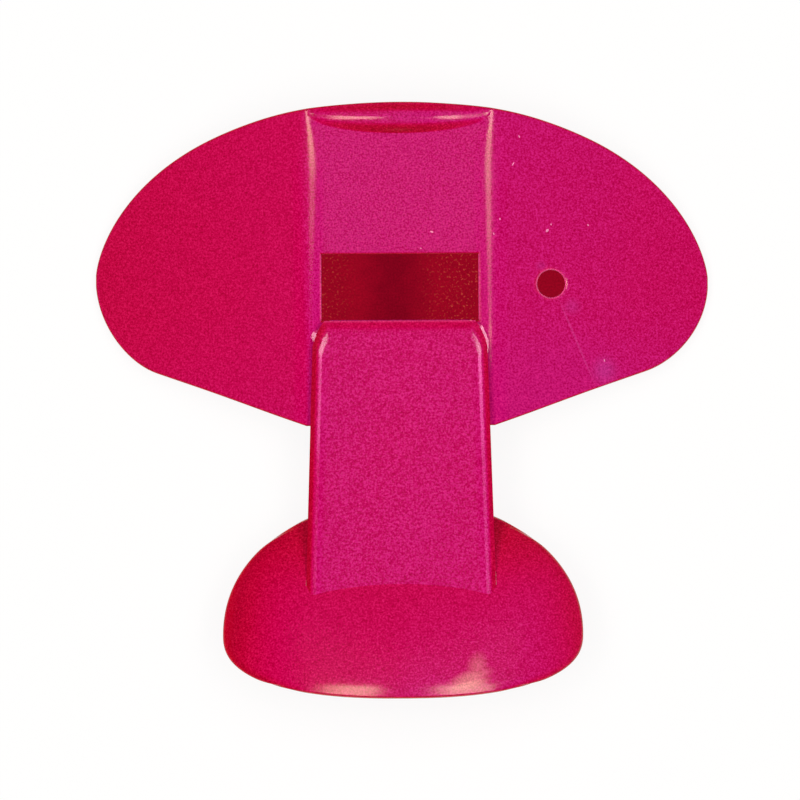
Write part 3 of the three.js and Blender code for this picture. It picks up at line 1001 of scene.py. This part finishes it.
def shield_marks(tree, coords, colour):
    """Paints a redder shade on the lip's outer slope, adds the painted sheen patches, the knit line
    and the nicks.
    """
    y = add(tree, "ShaderNodeSeparateXYZ", {0: coords}).outputs["Y"]
    # Painted shade: the lip's outer slope is redder.
    red = maths(tree, "MULTIPLY", share_between(tree, y, LIP_PAINTED_SHADE_FROM_Y), LIP_PAINTED_SHADE_SHARE)
    colour = blend(tree, red, colour, LIP_PAINTED_SHADE)
    # Painted sheen: the patches are bluer.
    for sheen_patch, share in PAINTED_SHEEN_PATCHES:
        shown = maths(tree, "MULTIPLY", oval(tree, coords, *sheen_patch, core=SOFT_CORE), share)
        colour = blend(tree, shown, colour, PAINTED_SHEEN_COLOUR)
    knit = maths(tree, "MULTIPLY", oval(tree, coords, *KNIT_LINE, core=LINE_CORE), KNIT_SHARE)
    colour = blend(tree, knit, colour, KNIT_COLOUR)
    nicked = 0.0
    for nick in NICKS:
        nicked = maths(tree, "MAXIMUM", oval(tree, coords, *nick), nicked)
    return blend(tree, nicked, colour, NICK_COLOUR)


def sheen_left(tree, place, stops):
    """How much of the sheen is left, from stops of y with the shares of the two sides."""
    shares = colour_along(tree, place["Y"], [(y, (left, right, 0)) for y, (left, right) in stops])
    sides = add(tree, "ShaderNodeSeparateColor", {0: shares}).outputs
    right = maths(tree, "GREATER_THAN", place["X"], 0.0)
    return add(tree, "ShaderNodeMix", {0: right, 2: sides["Red"], 3: sides["Green"]}).outputs[0]


def shield_sheen(tree, coords):
    """The sheen is lost on parts of the lip, and on the bends towards the nose end."""
    place = add(tree, "ShaderNodeSeparateXYZ", {0: coords}).outputs
    share = sheen_left(tree, place, BEND_SHEEN)
    aside = maths(tree, "SUBTRACT", maths(tree, "ABSOLUTE", place["X"]), BEND_LINE * MM)
    plain = share_between(tree, maths(tree, "ABSOLUTE", aside), BEND_SHEEN_REACH)
    on_lip = share_between(tree, place["Y"], LIP_SHEEN_FROM_Y)
    lip = colour_along(tree, place["X"], [(x, (kept, kept, kept)) for x, kept in LIP_SHEEN])
    lost = maths(tree, "MULTIPLY", on_lip, maths(tree, "SUBTRACT", 1.0, lip))
    share = maths(tree, "MULTIPLY", maths(tree, "MAXIMUM", share, plain),
                  maths(tree, "SUBTRACT", 1.0, lost))
    return blend(tree, share, BLACK, blend(tree, on_lip, BEND_TINT, LIP_TINT))


def duct_sheen(tree, coords):
    """The sheen on the duct's long edges turns lilac away from the window, and fades."""
    place = add(tree, "ShaderNodeSeparateXYZ", {0: coords}).outputs
    tint = blend(tree, share_between(tree, place["Y"], WINDOW_TINT_SPAN), EDGE_TINT, WINDOW_TINT)
    edge = blend(tree, sheen_left(tree, place, EDGE_SHEEN), BLACK, tint)
    aside = maths(tree, "MULTIPLY_ADD", place["Y"], DUCT_TAPER, maths(tree, "ABSOLUTE", place["X"]))
    return blend(tree, share_between(tree, aside, EDGE_SHEEN_FROM_X), DUCT_FACE_TINT, edge)


def cup_sheen(tree, coords):
    """The cup has lost its sheen on the left flank."""
    x = add(tree, "ShaderNodeSeparateXYZ", {0: coords}).outputs["X"]
    return blend(tree, share_between(tree, x, CUP_SHEEN_FROM_X), BLACK, SHEEN_TINT)


def scuff_and_highlight(tree, coords):
    """One inside the scuff on the cup's brow, where a highlight is also painted."""
    inside = 0.0
    for scuff, depth in SCUFFS_AND_HIGHLIGHTS:
        shown = maths(tree, "MULTIPLY", oval(tree, coords, *scuff, core=SOFT_CORE), depth)
        inside = maths(tree, "MAXIMUM", shown, inside)
    return inside


def cup_marks(tree, coords, colour):
    """A highlight is painted paler over the scuff."""
    return blend(tree, scuff_and_highlight(tree, coords), colour, SCUFF_HIGHLIGHT_COLOUR)


def cup_polish(tree, coords, rough):
    """The scuff is duller than the cup."""
    return maths(tree, "MULTIPLY_ADD", scuff_and_highlight(tree, coords), SCUFF_ROUGHNESS, rough)


def moulded_plastic(name, lean=PAINTED_SHADE_LEAN, lay=0.0, lay_by_y=0.0,
                    marks=None, polish=None, sheen=None):
    """Glossy plastic with a fine grain, with shade painted by which way it faces and a highlight
    painted on its rims. Lay shifts its painted shade.
    """
    made = bpy.data.materials.new(name)
    made.use_nodes = True
    tree = made.node_tree
    tree.nodes.clear()
    where = add(tree, "ShaderNodeTexCoord")
    coords = where.outputs["Object"]
    # Painted shade: the colour is picked by which way the surface faces, and shifts towards the
    # nose end.
    front = (math.sin(lean), 0, math.cos(lean))
    facing = add(tree, "ShaderNodeVectorMath", {0: where.outputs["Normal"], 1: front},
                 operation="DOT_PRODUCT").outputs["Value"]
    y = add(tree, "ShaderNodeSeparateXYZ", {0: coords}).outputs["Y"]
    below = maths(tree, "MAXIMUM", maths(tree, "SUBTRACT", PAINTED_SHADE_FROM_Y * MM, y), 0.0)
    grain = noise(tree, coords, GRAIN_SCALE)
    cloud = noise(tree, coords, CLOUD_SCALE, CLOUD_DETAIL)
    shade = maths(tree, "MULTIPLY_ADD", below, lay_by_y, maths(tree, "ADD", facing, lay))
    shade = maths(tree, "MULTIPLY_ADD", cloud, CLOUD_SHIFT, shade)
    shade = maths(tree, "MULTIPLY_ADD", grain, GRAIN_SHIFT, shade)
    ramp = add(tree, "ShaderNodeValToRGB", {"Fac": shade})
    set_stops(ramp, PAINTED_SHADE_STOPS)
    colour = ramp.outputs["Color"]
    if marks:
        colour = marks(tree, coords, colour)
    # A highlight is painted paler along the rims.
    rim = add(tree, "ShaderNodeAttribute", attribute_name="rim").outputs["Fac"]
    colour = blend(tree, maths(tree, "MULTIPLY", rim, RIM_HIGHLIGHT_SHARE), colour, RIM_HIGHLIGHT_COLOUR)
    value = maths(tree, "MULTIPLY_ADD", grain, GRAIN_VALUE, 1.0)
    colour = scaled(tree, colour, value)
    grey = maths(tree, "MULTIPLY", grain, GRAIN_GREY)
    colour = add(tree, "ShaderNodeVectorMath", {0: colour, 1: grey},
                 operation="ADD").outputs["Vector"]
    rough = maths(tree, "MULTIPLY_ADD", grain, GRAIN_ROUGHNESS, ROUGHNESS)
    if polish:
        rough = polish(tree, coords, rough)
    bump = add(tree, "ShaderNodeBump", {
        "Height": maths(tree, "MULTIPLY_ADD", cloud, CLOUD_BUMP, grain),
        "Strength": BUMP_STRENGTH,
        "Distance": BUMP_DISTANCE,
    })
    shader = add(tree, "ShaderNodeBsdfPrincipled", {
        "Base Color": colour,
        "Normal": bump.outputs["Normal"],
        "IOR": IOR,
        "Roughness": rough,
        "Specular Tint": sheen(tree, coords) if sheen else SHEEN_TINT,
    })
    add(tree, "ShaderNodeOutputMaterial", {"Surface": shader.outputs["BSDF"]})
    return made


# Stage

FLOOR_RADIUS = 2.6
FLOOR_WALL = 0.3
FLOOR_STEPS = 24
FLOOR_SIDES = 96


def dish():
    """A round floor whose border curves up into a low wall all round."""
    turns = np.linspace(0, math.pi / 2, FLOOR_STEPS)
    profile = [(FLOOR_RADIUS + FLOOR_WALL * math.sin(t), FLOOR_WALL * (1 - math.cos(t)))
               for t in turns]
    around = spread(0, 2 * math.pi, FLOOR_SIDES)
    points = [(r * math.cos(a), r * math.sin(a), z) for r, z in profile for a in around]
    beside = [(i, (i + 1) % FLOOR_SIDES) for i in range(FLOOR_SIDES)]
    faces = [tuple(range(FLOOR_SIDES))]
    for k in range(len(profile) - 1):
        low, high = k * FLOOR_SIDES, (k + 1) * FLOOR_SIDES
        faces += [(low + i, high + i, high + j, low + j) for i, j in beside]
    return points, faces


# Colours of the floor, which looks lifted to white, and of the red light and shadow painted on it
# under the shield, which glows, is darker along a middle line and speckled at both sides of the
# window.
FLOOR_COLOUR = (0.95, 0.95, 0.95, 1)
FLOOR_LIFT = 0.88
GLOW_PLACE = (0, 15.5)
GLOW_HALF = (34, 19)
GLOW_CORE = 0.64
GLOW_DARK = (0.215, 0.0012, 0.0115, 1)
GLOW_PALE = (0.315, 0.0022, 0.0155, 1)
GLOW_SPECK = (0.52, 0.055, 0.036, 1)
GLOW_DARK_X = -0.9
GLOW_SIDES = (0, 6)
GLOW_GRAIN = 0.9
GLOW_SCALE = 500
SPECK_SCALE = 3200
SPECK_FROM = 0.08
SPECK_TO = 0.22
SPECK_HALF = (13, 9)
SPECK_CORE = 0.9
SPECK_CLEAR_X = -2
SPECK_SIDES = (3, 9)


def pale_floor():
    """A pale sweep that keeps the flute's shadow, with red light and shadow painted under the
    shield.
    """
    points, faces = dish()
    mesh = bpy.data.meshes.new("floor")
    mesh.from_pydata(points, [], faces)
    mesh.polygons.foreach_set("use_smooth", [True] * len(mesh.polygons))
    floor = bpy.data.objects.new("floor", mesh)
    bpy.context.scene.collection.objects.link(floor)
    made = bpy.data.materials.new("floor_paper")
    made.use_nodes = True
    tree = made.node_tree
    tree.nodes.clear()
    coords = add(tree, "ShaderNodeTexCoord").outputs["Object"]
    under = oval(tree, coords, GLOW_PLACE, GLOW_HALF, core=GLOW_CORE)
    x = add(tree, "ShaderNodeSeparateXYZ", {0: coords}).outputs["X"]

    def sides_of(middle, span):
        """Rises to both sides of a middle line."""
        away = maths(tree, "ABSOLUTE", maths(tree, "SUBTRACT", x, middle * MM))
        return share_between(tree, away, span)

    cloud = maths(tree, "ADD", noise(tree, coords, GLOW_SCALE), sides_of(GLOW_DARK_X, GLOW_SIDES))
    red = blend(tree, cloud, GLOW_DARK, GLOW_PALE)
    speck = add(tree, "ShaderNodeMapRange", {
        "Value": noise(tree, coords, SPECK_SCALE), "From Min": SPECK_FROM, "From Max": SPECK_TO,
    }).outputs["Result"]
    speck = maths(tree, "MULTIPLY", speck, sides_of(SPECK_CLEAR_X, SPECK_SIDES))
    window = oval(tree, coords, (0, WINDOW_MIDDLE_Y), SPECK_HALF, core=SPECK_CORE)
    red = blend(tree, maths(tree, "MULTIPLY", speck, window), red, GLOW_SPECK)
    grain = maths(tree, "MULTIPLY_ADD", noise(tree, coords, GRAIN_SCALE), GLOW_GRAIN, 1.0)
    red = scaled(tree, red, grain)
    # Under the shield the floor has painted red light and shadow, which glows to the camera.
    plain = add(tree, "ShaderNodeBsdfDiffuse", {"Color": blend(tree, under, FLOOR_COLOUR, red)})
    white = add(tree, "ShaderNodeEmission", {"Color": blend(tree, under, WHITE, red)})
    ray = add(tree, "ShaderNodeLightPath").outputs
    seen = maths(tree, "MAXIMUM", ray["Is Camera Ray"],
                 maths(tree, "MAXIMUM", ray["Is Glossy Ray"], ray["Is Transmission Ray"]))
    mixed = add(tree, "ShaderNodeMixShader", {0: maths(tree, "MULTIPLY", seen, FLOOR_LIFT),
                                              1: plain.outputs[0], 2: white.outputs[0]})
    add(tree, "ShaderNodeOutputMaterial", {"Surface": mixed.outputs[0]})
    floor.data.materials.append(made)


WORLD_STRENGTH = 0.07


def studio_world():
    world = bpy.data.worlds.new("studio")
    bpy.context.scene.world = world
    world.use_nodes = True
    tree = world.node_tree
    tree.nodes.clear()
    back = add(tree, "ShaderNodeBackground", {"Color": WHITE, "Strength": WORLD_STRENGTH})
    add(tree, "ShaderNodeOutputWorld", {"Surface": back.outputs[0]})


# The overhead lamp lights the flute evenly. The two side lamps also show as its highlights.
LAMP_COLOUR = (1.0, 0.97, 0.93)
OVERHEAD_SIZE = (1.4, 1.4)
OVERHEAD_RADIANCE = 3.5
OVERHEAD_DISTANCE = 1.5
SIDE_ANGLE = math.radians(13)
SIDE_SIZE = (0.14, 0.28)
SIDE_RADIANCE = 9.8
SIDE_DISTANCE = 1.0


def softbox(name, angle, size, radiance, distance):
    """A rectangular lamp that leans from straight overhead by an angle, and lights the flute."""
    width, length = size
    data = bpy.data.lights.new(name, "AREA")
    data.shape = "RECTANGLE"
    data.size = width
    data.size_y = length
    data.color = LAMP_COLOUR
    data.energy = radiance * math.pi * width * length
    lamp = bpy.data.objects.new(name, data)
    bpy.context.scene.collection.objects.link(lamp)
    lamp.location = (distance * math.sin(angle), 0, distance * math.cos(angle))
    lamp.rotation_euler = (0, angle, 0)
    lamp.visible_camera = False
    return lamp


CAMERA_DISTANCE = 1.6
CAMERA_REACH = 10
SENSOR_WIDTH = 36
FRAME_WIDTH = 102.0 * MM
CAMERA_LEAN = math.radians(1.3)
CAMERA_ROLL = math.radians(0.3)
CAMERA_AIM = (-0.06 * MM, -0.03 * MM)


def overhead_camera():
    """Looks almost straight down from far off, with the chin end at the top of the picture."""
    data = bpy.data.cameras.new("camera")
    data.sensor_width = SENSOR_WIDTH
    data.lens = SENSOR_WIDTH * CAMERA_DISTANCE / FRAME_WIDTH
    data.clip_end = CAMERA_REACH
    camera = bpy.data.objects.new("camera", data)
    bpy.context.scene.collection.objects.link(camera)
    camera.rotation_euler = (0, CAMERA_LEAN, -CAMERA_ROLL)
    away = camera.rotation_euler.to_matrix() @ Vector((0, 0, CAMERA_DISTANCE))
    camera.location = Vector((*CAMERA_AIM, panel_height)) + away
    bpy.context.scene.camera = camera


def dress(piece, node, slot, **look):
    """Gives a finished piece its plastic, puts it under the root body, and hides the solid it
    stands for.
    """
    finish_shading(piece)
    piece.data.materials.clear()
    piece.data.materials.append(moulded_plastic(slot, **look))
    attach(piece, "root")
    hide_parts(node)


dress(mouth_shield(), "mouth_shield", "shield_plastic", lay_by_y=PAINTED_SHADE_BY_Y, marks=shield_marks,
      sheen=shield_sheen)
dress(duct_cover(), "duct_cover", "duct_plastic", lay=DUCT_LAY, sheen=duct_sheen)
dress(airway_floor(), "airway_floor", "floor_plastic")
dress(nose_cup(), "nose_cup", "cup_plastic", lean=CUP_PAINTED_SHADE_LEAN, lay=CUP_LAY, marks=cup_marks,
      polish=cup_polish, sheen=cup_sheen)

pale_floor()
studio_world()
overhead = softbox("lamp_overhead", 0, OVERHEAD_SIZE, OVERHEAD_RADIANCE, OVERHEAD_DISTANCE)
overhead.visible_glossy = False
softbox("lamp_right", SIDE_ANGLE, SIDE_SIZE, SIDE_RADIANCE, SIDE_DISTANCE)
softbox("lamp_left", -SIDE_ANGLE, SIDE_SIZE, SIDE_RADIANCE, SIDE_DISTANCE)
overhead_camera()
bpy.context.scene.view_settings.view_transform = "Standard"
